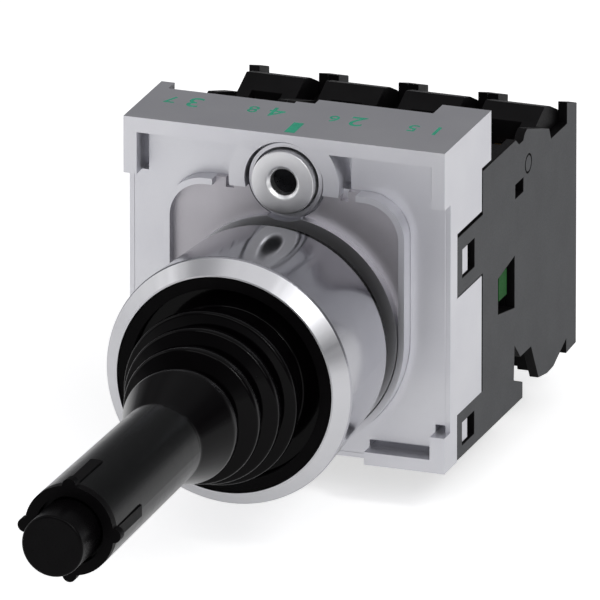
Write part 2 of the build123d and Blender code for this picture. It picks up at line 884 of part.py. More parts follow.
def module_housing(centre):
    """Moulded shell with two side walls, a front wall for the plunger and a rear wall."""
    half = module_width / 2
    left = centre - half
    right = centre + half
    shell = prism_x(wall_outline(), left, right)
    inside_front = module_front + front_wall
    inside_back = module_back - back_wall
    inner_left = left + left_wall
    inner_right = right - right_wall
    low = lower_ear_low - 1
    high = wall_top + 1
    shell -= box(inner_left, inner_right, inside_front, inside_back, low, high)
    for end, edge in ((high, back_wall_top), (low, back_wall_bottom)):
        shell -= box(inner_left, inner_right, inside_back - 1, module_back + 1, edge, end)
    shell += ears(centre)
    tip_x = plunger_tip_half_width + slide_gap
    tip_z = plunger_tip_half_height + slide_gap
    shell -= box(centre - tip_x, centre + tip_x, module_front - 1, inside_front + 1, -tip_z, tip_z)
    for side in (-1, 1):
        shell -= rod_y(
            screw_hole_radius, inside_back - 1, module_back + 1, centre, side * terminal_screw_height
        )
    shell -= prism_x(window_outline, right - right_wall - 1, right + 1)
    shell -= prism_x(test_hole_outline, right - right_wall - 1, right + 1)
    mark = Rot(0, 90, 0) * (
        Cylinder(ring_mark_radius, 2 * ring_mark_depth)
        - Cylinder(ring_mark_radius - ring_mark_width, 2 * ring_mark_depth)
    )
    return shell - Pos(right, ring_mark_y, ring_mark_z) * mark


def module_insert(centre):
    """Terminal block with the switching chamber, wire entries and screw bores."""
    half = module_width / 2
    left = centre - half + left_wall + insert_gap
    right = centre + half - right_wall - insert_gap
    block = prism_x(insert_outline(), left, right)
    inside = insert_front_y + insert_wall
    block -= box(
        centre - chamber_half_width,
        centre + chamber_half_width,
        inside,
        chamber_back,
        -chamber_half_height,
        chamber_half_height,
    )
    tip_x = plunger_tip_half_width + slide_gap
    tip_z = plunger_tip_half_height + slide_gap
    block -= box(centre - tip_x, centre + tip_x, insert_front_y - 1, inside + 1, -tip_z, tip_z)
    block -= prism_x(window_outline, centre, right + 1)
    wide = wire_entry_half_width
    for side in (-1, 1):
        entry_end = side * (wall_top + 1)
        block -= box(
            centre - wide,
            centre + wide,
            saddle_front - free_gap,
            terminal_front + strip_thickness + free_gap,
            side * (chamber_half_height - 0.5),
            entry_end,
        )
        screw_z = side * terminal_screw_height
        block -= rod_y(screw_hole_radius, terminal_front, module_back, centre, screw_z)
    return block


def fixed_contacts(centre):
    """Two stepped brass strips, each with a contact pad and a terminal plate."""
    strips = []
    wide = strip_half_width
    thick = strip_thickness
    back = terminal_front + thick
    for side in (-1, 1):
        strip = box(
            centre - wide, centre + wide, strip_front_y, strip_front_y + thick, side * strip_inner,
            side * strip_step_height,
        )
        strip += box(
            centre - wide, centre + wide, strip_front_y, back, side * (strip_step_height - thick),
            side * strip_step_height,
        )
        strip += box(
            centre - wide, centre + wide, terminal_front, back, side * (strip_step_height - thick),
            side * terminal_outer,
        )
        pad = rod_y(contact_radius, fixed_pad_front_y, strip_front_y, centre, side * contact_height)
        strip += pad
        screw_z = side * terminal_screw_height
        hole = rod_y(terminal_shank_radius, terminal_front - 1, back + 1, centre, screw_z)
        strips.append(strip - hole)
    return strips


def terminal_screws(centre):
    """Two clamp screws, each with its wire saddle."""
    screws = []
    for side in (-1, 1):
        z = side * terminal_screw_height
        screw = rod_y(terminal_shank_radius, saddle_front, terminal_head_start, centre, z)
        screw += rod_y(terminal_screw_radius, terminal_head_start, terminal_head_end, centre, z)
        slot = screw_slot_width / 2
        screw -= box(
            centre - screw_hole_radius, centre + screw_hole_radius,
            terminal_head_end - screw_slot_depth, terminal_head_end + 1, z - slot, z + slot,
        )
        screw += box(
            centre - strip_half_width, centre + strip_half_width, saddle_front,
            saddle_front + saddle_thickness, z - saddle_half_height, z + saddle_half_height,
        )
        screws.append(screw)
    return screws


def plunger(centre):
    """Coloured plunger: tip through the front wall, body behind the window, slotted carrier."""
    tip_x = plunger_tip_half_width
    tip_z = plunger_tip_half_height
    body_x = plunger_body_half_width
    body_z = plunger_body_half_height
    shape = box(centre - tip_x, centre + tip_x, foot_end, plunger_body_front, -tip_z, tip_z)
    shape += box(
        centre - body_x, centre + body_x, plunger_body_front, plunger_body_back, -body_z, body_z
    )
    shape += box(
        centre - carrier_half_width,
        centre + carrier_half_width,
        plunger_body_back,
        carrier_back,
        -carrier_half_height,
        carrier_half_height,
    )
    half = bridge_half_width + insert_gap
    bridge_back = bridge_front + bridge_thickness
    return shape - box(centre - half, centre + half, bridge_front, bridge_back, -body_z, body_z)


def contact_bridge(centre):
    bridge_back = bridge_front + bridge_thickness
    half = bridge_half_width
    bridge = box(
        centre - half, centre + half, bridge_front, bridge_back, -bridge_half_height, bridge_half_height
    )
    for side in (-1, 1):
        bridge += rod_y(
            contact_radius, bridge_back, bridge_back + contact_thickness, centre, side * contact_height
        )
    return bridge


def plunger_spring(centre):
    return coil(
        plunger_spring_radius, plunger_spring_wire, carrier_back, chamber_back, plunger_spring_turns, centre
    )


def transfer_slider(index):
    """Bar from the gimbal or lever tip to the plunger of one module."""
    centre = module_centres[index]
    x0, x1, z0, z1 = bar_windows()[index]
    outer = index in (0, module_count - 1)
    front = outer_bar_front_y if outer else inner_bar_front_y
    bar = box(x0, x1, front, foot_end, z0, z1)
    if outer:
        far = centre + math.copysign(plunger_tip_half_width, centre)
        near = x0 if centre > 0 else x1
        return bar + box(near, far, foot_start, foot_end, -foot_half_height, foot_half_height)
    end = -math.copysign(foot_half_height, z0)
    start = z1 if z0 > 0 else z0
    return bar + box(x0, x1, foot_start, foot_end, start, end)


def write(name, shape):
    """Writes one node, whose solids stay separate."""
    pieces = shape if isinstance(shape, list) else [shape]
    solids = [solid for piece in pieces for solid in piece.solids()]
    result = solids[0] if len(solids) == 1 else Compound(children=solids)
    export_step(result, "parts/" + name + ".step")


os.makedirs("parts", exist_ok=True)

single_pieces = {
    "bezel_ring": bezel_ring,
    "boot_clamp_ring": boot_clamp_ring,
    "rubber_boot": rubber_boot,
    "front_gasket": front_gasket,
    "head_body": head_body,
    "guide_disc": guide_disc,
    "spring_seat": spring_seat,
    "return_spring": return_spring,
    "gimbal_ring": gimbal_ring,
    "gimbal_pins": gimbal_pins,
    "hub_pins": hub_pins,
    "stem_hub": stem_hub,
    "stem": stem,
    "actuator_plate": actuator_plate,
    "spring_collar": spring_collar,
    "grip": grip,
    "end_ring": end_ring,
    "release_cap": release_cap,
    "release_rod": release_rod,
    "release_spring": release_spring,
    "holder": holder,
    "clamp_foot": clamp_foot,
    "clamp_screw": clamp_screw,
}
module_pieces = {
    "module_housing": module_housing,
    "module_insert": module_insert,
    "fixed_contacts": fixed_contacts,
    "terminal_screws": terminal_screws,
    "plunger": plunger,
    "contact_bridge": contact_bridge,
    "plunger_spring": plunger_spring,
}

for piece_name, make in single_pieces.items():
    write(piece_name, make())
for number, centre_x in enumerate(module_centres):
    for piece_name, make in module_pieces.items():
        write(piece_name + "_" + str(number + 1), make(centre_x))
    write("transfer_slider_" + str(number + 1), transfer_slider(number))
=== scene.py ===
# %% [markdown]
# # A joystick, its holder and its contact modules
# The CAD solids come in as a fixed frame, and this file gives them their looks.
# Blender works in metres. Sizes are written in millimetres, as on a drawing, and MM turns them into
# metres, at the latest where a mesh is made.

# %% Load the frame
import math
import bmesh
import bpy
import numpy as np
from mathutils import Matrix, Vector


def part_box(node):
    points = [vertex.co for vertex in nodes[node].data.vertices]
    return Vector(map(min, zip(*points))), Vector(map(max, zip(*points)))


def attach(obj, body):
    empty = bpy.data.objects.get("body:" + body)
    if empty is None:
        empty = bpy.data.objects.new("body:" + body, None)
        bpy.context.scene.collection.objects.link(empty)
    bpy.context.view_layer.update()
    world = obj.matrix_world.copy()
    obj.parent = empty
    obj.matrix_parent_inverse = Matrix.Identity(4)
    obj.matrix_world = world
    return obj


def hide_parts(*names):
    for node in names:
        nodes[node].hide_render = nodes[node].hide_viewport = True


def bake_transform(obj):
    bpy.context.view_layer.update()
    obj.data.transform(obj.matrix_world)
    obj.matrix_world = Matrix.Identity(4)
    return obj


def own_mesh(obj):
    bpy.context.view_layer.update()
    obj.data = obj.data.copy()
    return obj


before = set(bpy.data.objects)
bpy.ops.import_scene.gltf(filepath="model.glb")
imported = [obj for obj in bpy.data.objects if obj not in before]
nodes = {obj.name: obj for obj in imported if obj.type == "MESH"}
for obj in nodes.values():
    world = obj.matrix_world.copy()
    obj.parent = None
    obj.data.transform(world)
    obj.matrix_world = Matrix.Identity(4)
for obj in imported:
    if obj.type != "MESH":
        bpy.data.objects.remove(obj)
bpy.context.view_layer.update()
MM = 0.001

# %% [markdown]
# ## Camera
# The photograph shows no perspective: parallel edges stay parallel in it. A parallel camera would give
# that, but a long lens far away does nearly the same and also works in the other views of the scene.
# Turn and tilt come from the directions that the three axes have in the photograph.

# %% Camera
CAMERA_TURN = math.radians(19.8)
CAMERA_TILT = math.radians(19.7)
FRAME_WIDTH = 70.22 * MM
LENS = 1650.0
SENSOR = 36.0
AIM_RIGHT, AIM_UP = 1.902 * MM, 3.429 * MM
right = Vector((math.cos(CAMERA_TURN), math.sin(CAMERA_TURN), 0))
towards = Vector((
    math.sin(CAMERA_TURN) * math.cos(CAMERA_TILT),
    -math.cos(CAMERA_TURN) * math.cos(CAMERA_TILT),
    math.sin(CAMERA_TILT),
))
up = towards.cross(right)
aim = right * AIM_RIGHT + up * AIM_UP
camera_data = bpy.data.cameras.new("camera")
camera_data.lens = LENS
camera_data.sensor_width = SENSOR
camera = bpy.data.objects.new("camera", camera_data)
bpy.context.scene.collection.objects.link(camera)
distance = FRAME_WIDTH * LENS / SENSOR
turned_axes = Matrix((right, up, towards)).transposed().to_4x4()
camera.matrix_world = Matrix.Translation(aim + towards * distance) @ turned_axes
bpy.context.scene.camera = camera
bpy.context.scene.view_settings.view_transform = "Standard"
print("camera distance in m:", round(distance, 3))

# %% [markdown]
# ## Colours and nodes
# A colour picked from a picture is sRGB, while the shaders work in linear light, so one function
# turns the first into the second. One other function adds a shader node with its settings and links.

# %% Colour and node helpers
def linear(hex_colour):
    """sRGB hex to linear RGBA: a channel c is c/12.92 up to 0.04045, else ((c+0.055)/1.055)^2.4."""
    channels = np.array([int(hex_colour[i:i + 2], 16) for i in (1, 3, 5)]) / 255
    light = np.where(channels <= 0.04045, channels / 12.92, ((channels + 0.055) / 1.055) ** 2.4)
    return (*light.tolist(), 1.0)


def add(tree, kind, inputs=None, **settings):
    """Adds one node. An input given as another node's output becomes a link, otherwise a value."""
    made = tree.nodes.new(kind)
    for name, value in settings.items():
        setattr(made, name, value)
    for socket, value in (inputs or {}).items():
        if isinstance(value, bpy.types.NodeSocket):
            tree.links.new(value, made.inputs[socket])
        else:
            made.inputs[socket].default_value = value
    return made


print("mid grey in linear light:", round(linear("#808080")[0], 3))

# %% [markdown]
# ## One recipe for cast and moulded surfaces
# Castings and mouldings look alike up close: a fine grain copied from the tool, and wide patches where
# metal or plastic flowed a little differently. Two noises do that. The wide one moves the colour,
# and the fine one moves roughness and height together, since a grain that is high scatters light.
# Real grain is a few hundredths of a millimetre. It is drawn at a tenth or more, so that it shows.
# Each use gives two colours, the width of patches and of grain in mm, the range of roughness, the
# height of the grain in mm, and the values that are even all over.

# %% Grained surface
NOISE_LOW, NOISE_HIGH = 0.3, 0.7
NOISE_DETAIL = 2.0


def grained(name, colours, patch_mm, grain_mm, roughness, depth_mm, even):
    """Material with two noises: patches mix two colours, and grain sets roughness and height."""
    material = bpy.data.materials.new(name)
    material.use_nodes = True
    tree = material.node_tree
    tree.nodes.clear()
    place = add(tree, "ShaderNodeTexCoord").outputs["Object"]
    wide = {"Vector": place, "Scale": 1 / (patch_mm * MM), "Detail": NOISE_DETAIL}
    patches = add(tree, "ShaderNodeTexNoise", wide)
    mix = add(tree, "ShaderNodeValToRGB", {"Fac": patches.outputs["Fac"]})
    for stop, position, colour in zip(mix.color_ramp.elements, (NOISE_LOW, NOISE_HIGH), colours):
        stop.position = position
        stop.color = linear(colour)
    fine = {"Vector": place, "Scale": 1 / (grain_mm * MM), "Detail": NOISE_DETAIL}
    grain = add(tree, "ShaderNodeTexNoise", fine)
    shine = {"Value": grain.outputs["Fac"], "From Min": NOISE_LOW, "From Max": NOISE_HIGH}
    shine.update({"To Min": roughness[0], "To Max": roughness[1]})
    shine = add(tree, "ShaderNodeMapRange", shine)
    bump = add(tree, "ShaderNodeBump", {"Height": grain.outputs["Fac"], "Distance": depth_mm * MM})
    linked = {"Base Color": mix.outputs["Color"], "Roughness": shine.outputs["Result"]}
    linked["Normal"] = bump.outputs["Normal"]
    surface = add(tree, "ShaderNodeBsdfPrincipled", {**even, **linked})
    add(tree, "ShaderNodeOutputMaterial", {"Surface": surface.outputs[0]})
    return material


# %% [markdown]
# ## Metals
# The holder is die-cast zinc, blasted to an even satin: its mirror image of the room is blurred so
# much that each face takes one grey, light where it looks down at the pale floor and dark on top.
# The floor of its arch is a little rougher, and its colour is a little darker as painted shade, since
# the recess is lit less. The clamp's foot is turned steel, smoother than the casting, so that its rim
# shows a bright line. Inside, wire is drawn and bright, screws and rods are zinc plated and slightly
# cloudy, and the contacts are stamped brass.

# %% Zinc, steel and brass
METAL = {"Metallic": 1.0}
zinc = grained("die_cast_zinc_satin", ("#DCDCE1", "#E2E2E6"), 9.0, 0.12, (0.36, 0.46), 0.002, METAL)
foot_steel = grained("turned_steel_satin", ("#ECECEE", "#F0F0F1"), 3.0, 0.9, (0.34, 0.38), 0.0001, METAL)
# The arch floor's darker colours are painted shade for the recess inside the arch; its roughness is its
# own.
shaded_arch_zinc = grained("zinc_with_painted_shade", ("#C6C3C8", "#CECBD0"), 6.0, 0.12, (0.4, 0.5), 0.002, METAL)
black_steel = grained("blackened_steel", ("#18181A", "#222224"), 1.5, 0.2, (0.25, 0.35), 0.001, METAL)
plated_steel = grained("zinc_plated_steel", ("#A9A9AC", "#C6C6C8"), 1.5, 0.15, (0.22, 0.38), 0.002, METAL)
spring_wire = grained("drawn_spring_steel", ("#8E8E90", "#A4A4A6"), 2.0, 0.2, (0.25, 0.35), 0.001, METAL)
brass = grained("stamped_brass", ("#B08A46", "#D6B36A"), 0.8, 0.1, (0.25, 0.4), 0.002, METAL)
metals = (zinc, foot_steel, shaded_arch_zinc, black_steel, plated_steel, spring_wire, brass)
print("metals:", [metal.name for metal in metals])

# %% [markdown]
# ## Chrome with turning lines
# The bezel is turned brass with bright chrome on it. Its barrel is polished, and its bevel keeps fine
# turning lines, which pull every reflection out into a fan. The lines are a noise stretched round the
# axis: it reads depth less radius at full scale, and the angle at a small one. Real lines are finer
# than a pixel, so they are drawn at about a tenth of a millimetre.

# %% Turning lines
BEVEL_BACK = -18.9 * MM
LINE_SPACING = 0.09 * MM
LINE_SWEEP = 1.2 * MM
chrome = bpy.data.materials.new("bright_chrome_on_turned_brass")
chrome.use_nodes = True
tree = chrome.node_tree
tree.nodes.clear()
place = add(tree, "ShaderNodeTexCoord").outputs["Object"]
split = add(tree, "ShaderNodeSeparateXYZ", {"Vector": place})
flat = add(tree, "ShaderNodeCombineXYZ", {"X": split.outputs["X"], "Z": split.outputs["Z"]})
radius = add(tree, "ShaderNodeVectorMath", {0: flat.outputs[0]}, operation="LENGTH")
angle = {0: split.outputs["X"], 1: split.outputs["Z"]}
angle = add(tree, "ShaderNodeMath", angle, operation="ARCTAN2")
swept = add(tree, "ShaderNodeMath", {0: angle.outputs[0], 1: LINE_SWEEP}, operation="MULTIPLY")
along = {0: split.outputs["Y"], 1: radius.outputs["Value"]}
along = add(tree, "ShaderNodeMath", along, operation="SUBTRACT")
rings = add(tree, "ShaderNodeCombineXYZ", {"X": along.outputs[0], "Y": swept.outputs[0]})
lines = {"Vector": rings.outputs[0], "Scale": 1 / LINE_SPACING, "Detail": 3.0}
lines = add(tree, "ShaderNodeTexNoise", lines).outputs["Fac"]
print("turning lines in each mm of the bevel:", round(MM / LINE_SPACING))

# %% [markdown]
# Bevel and barrel are one solid, so the shader tells them apart by depth: in front of BEVEL_BACK the
# lines are deep enough to blur a reflection across them, which the tangent, pointing outward from the
# axis, and the anisotropy do. A Mix node's inputs go by number: 2 and 3 are its values, 6 and 7 its
# colours.

# %% Chrome on bevel and barrel
BEVEL_SHINE = {"To Min": 0.3, "To Max": 0.38}
BARREL_SHINE = {"To Min": 0.11, "To Max": 0.16}
LINE_DEPTH = 0.0002 * MM
FAN = 0.7
CLOUD_SIZE = 6.0 * MM
bevel = add(tree, "ShaderNodeMath", {0: split.outputs["Y"], 1: BEVEL_BACK}, operation="LESS_THAN")
spread = {"Value": lines, "From Min": NOISE_LOW, "From Max": NOISE_HIGH}
brushed = add(tree, "ShaderNodeMapRange", {**spread, **BEVEL_SHINE})
polished = add(tree, "ShaderNodeMapRange", {**spread, **BARREL_SHINE})
shine = {"Factor": bevel.outputs[0], 2: polished.outputs["Result"], 3: brushed.outputs["Result"]}
shine = add(tree, "ShaderNodeMix", shine)
relief = add(tree, "ShaderNodeBump", {"Height": lines, "Distance": LINE_DEPTH})
outward = add(tree, "ShaderNodeVectorMath", {0: flat.outputs[0]}, operation="NORMALIZE")
fan = add(tree, "ShaderNodeMath", {0: bevel.outputs[0], 1: FAN}, operation="MULTIPLY")
clouds = {"Vector": place, "Scale": 1 / CLOUD_SIZE, "Detail": NOISE_DETAIL}
clouds = add(tree, "ShaderNodeTexNoise", clouds)
# The barrel's darker colour is painted shade and the bevel's lighter one a painted highlight: both are the
# same bright chrome. Only the clouds on the barrel vary at random.
barrel_tone = add(tree, "ShaderNodeValToRGB", {"Fac": clouds.outputs["Fac"]})
barrel_tone.color_ramp.elements[0].color = linear("#B0B0B6")
barrel_tone.color_ramp.elements[1].color = linear("#BABABF")
tone = {0: bevel.outputs[0], 6: barrel_tone.outputs["Color"], 7: linear("#D0D0D3")}
tone = add(tree, "ShaderNodeMix", tone, data_type="RGBA")
surface = {"Base Color": tone.outputs[2], "Metallic": 1.0, "Roughness": shine.outputs[0]}
surface.update({"Anisotropic": fan.outputs[0], "Tangent": outward.outputs[0]})
surface = add(tree, "ShaderNodeBsdfPrincipled", {**surface, "Normal": relief.outputs["Normal"]})
add(tree, "ShaderNodeOutputMaterial", {"Surface": surface.outputs[0]})
print("nodes in the chrome:", len(tree.nodes))

# %% [markdown]
# ## Rubber and plastics
# The boot is nitrile rubber moulded in a polished tool: nearly black, with a skin that shines.
# The grip is gloss black polyamide. The star ring is the same plastic out of a spark-eroded tool, which
# leaves it matt, and the release cap lies between the two.
# Carbon black takes so much light that only a weak gloss is left, so their specular level is low.

# %% Rubber and black plastics
rubber = grained(
    "moulded_nitrile_rubber", ("#030203", "#050405"), 4.0, 0.9, (0.08, 0.12), 0.0005,
    {"IOR": 1.52, "Specular IOR Level": 0.09},
)
gloss_black = grained(
    "polished_black_polyamide", ("#040505", "#070808"), 3.0, 1.2, (0.17, 0.23), 0.001,
    {"IOR": 1.53, "Specular IOR Level": 0.12},
)
button_black = grained(
    "satin_black_polyamide", ("#060506", "#090809"), 2.0, 0.3, (0.26, 0.34), 0.002,
    {"IOR": 1.53, "Specular IOR Level": 0.06},
)
matt_black = grained(
    "spark_eroded_black_polyamide", ("#050405", "#080708"), 2.0, 0.14, (0.42, 0.55), 0.004,
    {"IOR": 1.53, "Specular IOR Level": 0.05},
)
print("black finishes:", [finish.name for finish in (rubber, gloss_black, button_black, matt_black)])

# %% [markdown]
# The modules are glass-filled polyamide, whose fibres dull the skin: dark grey shells with black inserts
# within. The black also stands as painted shade on the shells' outlines and openings.
# Plungers and sliders are acetal, which slides well. It is smooth, with a slight waxy sheen.

# %% Module plastics
grey_shell = grained(
    "glass_filled_grey_polyamide", ("#4A4B4D", "#505153"), 5.0, 0.16, (0.5, 0.62), 0.004,
    {"IOR": 1.53, "Specular IOR Level": 0.2},
)
black_insert_and_shade = grained(
    "black_polyamide_and_painted_shade", ("#0A090A", "#100F10"), 3.0, 0.18, (0.42, 0.55), 0.004,
    {"IOR": 1.53, "Specular IOR Level": 0.08},
)
green_plunger = grained(
    "moulded_green_acetal", ("#0A5216", "#0E5C1C"), 2.0, 0.3, (0.35, 0.48), 0.003,
    {"IOR": 1.48, "Specular IOR Level": 0.04},
)
white_slider = grained(
    "moulded_white_acetal", ("#D8D7D2", "#E4E3DF"), 2.0, 0.3, (0.35, 0.48), 0.003, {"IOR": 1.48},
)
moulded = (grey_shell, black_insert_and_shade, green_plunger, white_slider)
print("module plastics:", [plastic.name for plastic in moulded])

# %% [markdown]
# ## Dressing the CAD pieces
# Each solid takes the finish of its real part, those inside the housing too, because a cut or an
# exploded view shows them.

# %% Materials onto nodes
dressed = set()


def dress(material, *names):
    """Gives CAD nodes one material in each of their slots."""
    for name in names:
        slots = nodes[name].data.materials
        slots.clear()
        slots.append(material)
        dressed.add(name)


def family(name):
    """The four nodes of one kind of piece, one in each contact module."""
    return [f"{name}_{i}" for i in range(1, 5)]


dress(chrome, "bezel_ring")
dress(zinc, "holder", "gimbal_ring")
dress(foot_steel, "clamp_foot")
dress(black_steel, "clamp_screw")
dress(plated_steel, "stem", "gimbal_pins", "hub_pins", "release_rod", "actuator_plate")
dress(plated_steel, "spring_seat", "spring_collar", *family("terminal_screws"))
dress(spring_wire, "return_spring", "release_spring", *family("plunger_spring"))
dress(brass, *family("fixed_contacts"), *family("contact_bridge"))
dress(rubber, "rubber_boot", "front_gasket")
dress(gloss_black, "grip")
dress(button_black, "release_cap")
dress(matt_black, "end_ring", "head_body", "boot_clamp_ring", "stem_hub")
dress(white_slider, "guide_disc", *family("transfer_slider"))
dress(grey_shell, *family("module_housing"))
dress(black_insert_and_shade, *family("module_insert"))
dress(green_plunger, *family("plunger"))
print("CAD nodes without a finish:", sorted(set(nodes) - dressed))

# %% [markdown]
# ## Edges that catch light
# No cast or moulded edge is sharp. The tool leaves a radius of about a tenth of a millimetre, which
# shows as a thin bright line on metal and a dark one on plastic. The CAD mesh stays as it is: a copy
# has its loose triangles merged and its flat faces joined, and a Bevel modifier rounds its long edges.
# The modules' outlines and openings, rounded edges included, are painted black as painted shade, though the
# shell is grey plastic all through.

# %% Merged copy with marked edges
SHARP = math.radians(35)
SHORTEST_EDGE = 0.6 * MM
SAME_POINT = 0.001 * MM
SAME_PLANE = math.radians(0.5)


def marked_copy(name):
    """Copy of a CAD node's mesh: doubles merged, flat faces joined, and long sharp edges given weight 1."""
    shape = bmesh.new()
    shape.from_mesh(nodes[name].data)
    bmesh.ops.remove_doubles(shape, verts=shape.verts, dist=SAME_POINT)
    bmesh.ops.dissolve_limit(shape, angle_limit=SAME_PLANE, verts=shape.verts, edges=shape.edges)
    weight = shape.edges.layers.float.new("bevel_weight_edge")
    for line in shape.edges:
        if line.calc_face_angle(0) > SHARP and line.calc_length() > SHORTEST_EDGE:
            line[weight] = 1.0
    mesh = bpy.data.meshes.new(name + "_rounded")
    shape.to_mesh(mesh)
    shape.free()
    mesh.polygons.foreach_set("use_smooth", np.ones(len(mesh.polygons), bool))
    mesh.set_sharp_from_angle(angle=SHARP)
    mesh.materials.append(nodes[name].data.materials[0])
    return mesh


# %% Rounded copies
ON_SIDE = 0.01 * MM


def keep_faces_flat(piece):
    """Shades each flat face by its own normal, so that light changes only on the rounded edges."""
    flat = piece.modifiers.new("flat faces stay flat", "WEIGHTED_NORMAL")
    flat.weight = 100
    flat.keep_sharp = True


def rounded(name, edge_mm, body, shade_paint=None):
    """Copy of a CAD node with its marked edges rounded; shade_paint, a painted shade, covers all but its
    two outer sides and the rounded edges.
    """
    mesh = marked_copy(name)
    piece = bpy.data.objects.new(name + "_rounded", mesh)
    bpy.context.scene.collection.objects.link(piece)
    edge = piece.modifiers.new("tool radius", "BEVEL")
    edge.width = edge_mm * MM
    edge.segments = 2
    edge.limit_method = "WEIGHT"
    edge.harden_normals = True
    keep_faces_flat(piece)
    # Faces set in from the two outer sides, and the rounded edges, take the black as painted shade.
    if shade_paint:
        places = np.zeros(len(mesh.polygons) * 3)
        mesh.polygons.foreach_get("center", places)
        low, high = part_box(name)
        inset = np.minimum(np.abs(places[::3] - low[0]), np.abs(places[::3] - high[0]))
        mesh.materials.append(shade_paint)
        mesh.polygons.foreach_set("material_index", (inset > ON_SIDE).astype(np.int32))
        edge.material = 1
    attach(piece, body)
    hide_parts(name)
    return piece


HOLDER_EDGE, HOUSING_EDGE, INSERT_EDGE = 0.12, 0.1, 0.07
softened = [rounded("holder", HOLDER_EDGE, "base")]
for name in family("module_housing"):
    # The housings' outlines and openings take the black insert's material as painted shade.
    softened.append(rounded(name, HOUSING_EDGE, "base", black_insert_and_shade))
for name in family("module_insert"):
    softened.append(rounded(name, INSERT_EDGE, "base"))
print("rounded copies:", len(softened), "faces:", sum(len(piece.data.polygons) for piece in softened))

# %% [markdown]
# ## Grids that become meshes
# The boot and the springs are surfaces on a grid of two parameters. Rows of the grid run round the
# piece and columns along it. Every quad joins a point to its neighbours in the next row and column,
# so the face list is worked out from index arrays, and numpy writes it in one go.

# %% From grid to piece
def grid_piece(name, points, material, wrap_columns):
    """Closes the rows of a grid of points into quads, and its columns too, or ends them with caps."""
    rows, columns = points.shape[:2]
    index = np.arange(rows * columns).reshape(rows, columns)
    across = np.roll(index, -1, axis=0)
    here, there = index, across
    if wrap_columns:
        ahead_here, ahead_there = np.roll(here, -1, axis=1), np.roll(there, -1, axis=1)
    else:
        ahead_here, ahead_there = here[:, 1:], there[:, 1:]
        here, there = here[:, :-1], there[:, :-1]
    faces = np.stack((here, there, ahead_there, ahead_here), axis=-1).reshape(-1, 4).tolist()
    if not wrap_columns:
        faces += [index[::-1, 0].tolist(), index[:, -1].tolist()]
    mesh = bpy.data.meshes.new(name)
    mesh.from_pydata(points.reshape(-1, 3).tolist(), [], faces)
    shape = bmesh.new()
    shape.from_mesh(mesh)
    bmesh.ops.recalc_face_normals(shape, faces=shape.faces)
    shape.to_mesh(mesh)
    shape.free()
    mesh.polygons.foreach_set("use_smooth", np.ones(len(mesh.polygons), bool))
    mesh.set_sharp_from_angle(angle=SHARP)
    mesh.materials.append(material)
    piece = bpy.data.objects.new(name, mesh)
    bpy.context.scene.collection.objects.link(piece)
    return piece


# %% [markdown]
# ## The boot
# A bellows boot lets the lever lean while it keeps dust out. Each of its four ridges has a flat crest
# with soft corners, and deep valleys between them fold. It crosses two hinges, and a piece can only
# bend between two bodies, so it is two parts that meet just behind the first crest, the lower one
# from the head to the gimbal and the upper one from the gimbal to the lever. They meet that low
# so that the lever's tube stays inside when it leans sideways.

# %% Boot profile
HEAD_RADIUS = 13.15
FLANGE_BACK, FLANGE_FRONT, FLANGE_INNER = -18.2, -19.4, 9.3
BEZEL_FRONT = -20.5
RIDGES = ((10.66, 5.0), (9.55, 8.0), (8.35, 11.5), (6.98, 15.5))
CREST_WIDTH, VALLEY_WIDTH, VALLEY_DEPTH, WALL = 1.5, 0.5, 1.6, 0.9
NECK_RADIUS, NECK_INNER, NECK_START, NECK_END = 5.0, 4.2, -41.9, -42.4
CORNER_RADIUS = 0.34
CURVE_POINTS = 6
MOST_OF_EDGE = 0.45


def eased(corners, reach):
    """Rounds a line's inner corners: each becomes a quadratic curve from reach before to reach after it."""
    before, corner, after = corners[:-2], corners[1:-1], corners[2:]
    to_before, to_after = before - corner, after - corner
    length_before = np.linalg.norm(to_before, axis=1, keepdims=True)
    length_after = np.linalg.norm(to_after, axis=1, keepdims=True)
    start = corner + to_before / length_before * np.minimum(reach, length_before * MOST_OF_EDGE)
    end = corner + to_after / length_after * np.minimum(reach, length_after * MOST_OF_EDGE)
    t = np.linspace(0, 1, CURVE_POINTS)[None, :, None]
    curve = (1 - t) ** 2 * start[:, None] + 2 * t * (1 - t) * corner[:, None] + t ** 2 * end[:, None]
    return np.vstack((corners[:1], curve.reshape(-1, 2), corners[-1:]))


crest_radius, crest_reach = np.array(RIDGES).T
crest_front = BEZEL_FRONT - crest_reach
crest_back = crest_front + CREST_WIDTH
previous_radius = np.concatenate((crest_radius[:1], crest_radius[:-1]))
previous_front = np.concatenate(([FLANGE_FRONT], crest_front[:-1]))
valley_radius = np.minimum(previous_radius, crest_radius) - VALLEY_DEPTH
valley_middle = (previous_front + crest_back) / 2
ridge_points = np.stack((
    np.stack((valley_radius, valley_middle + VALLEY_WIDTH / 2), axis=1),
    np.stack((valley_radius, valley_middle - VALLEY_WIDTH / 2), axis=1),
    np.stack((crest_radius, crest_back), axis=1),
    np.stack((crest_radius, crest_front), axis=1),
), axis=1)
valley_corner, crest_corner = ridge_points[0, 1:2], ridge_points[0, 2:3]
SPLIT_SHARE = 0.8
split_point = valley_corner + SPLIT_SHARE * (crest_corner - valley_corner)

# %% [markdown]
# Each part is a closed wall: its outer line runs out to the neck and its inner line comes back. Turning
# that profile about the lever gives the skin inside and outside in one piece.

# %% Boot parts
ROUND = 160
turn = np.linspace(0, 2 * np.pi, ROUND, endpoint=False)


def turned(profile):
    """Body of revolution about Y: a profile point (r, y) at angle a is (r sin a, y, r cos a)."""
    radius, depth = profile.T[:, None, :] * MM
    around = turn[:, None]
    return np.stack((radius * np.sin(around), depth + 0 * around, radius * np.cos(around)), axis=-1)


def walled(outside, inside):
    """Closed profile of a wall: the outer line one way and the inner line back."""
    return turned(np.vstack((eased(outside, CORNER_RADIUS), eased(inside[::-1], CORNER_RADIUS))))


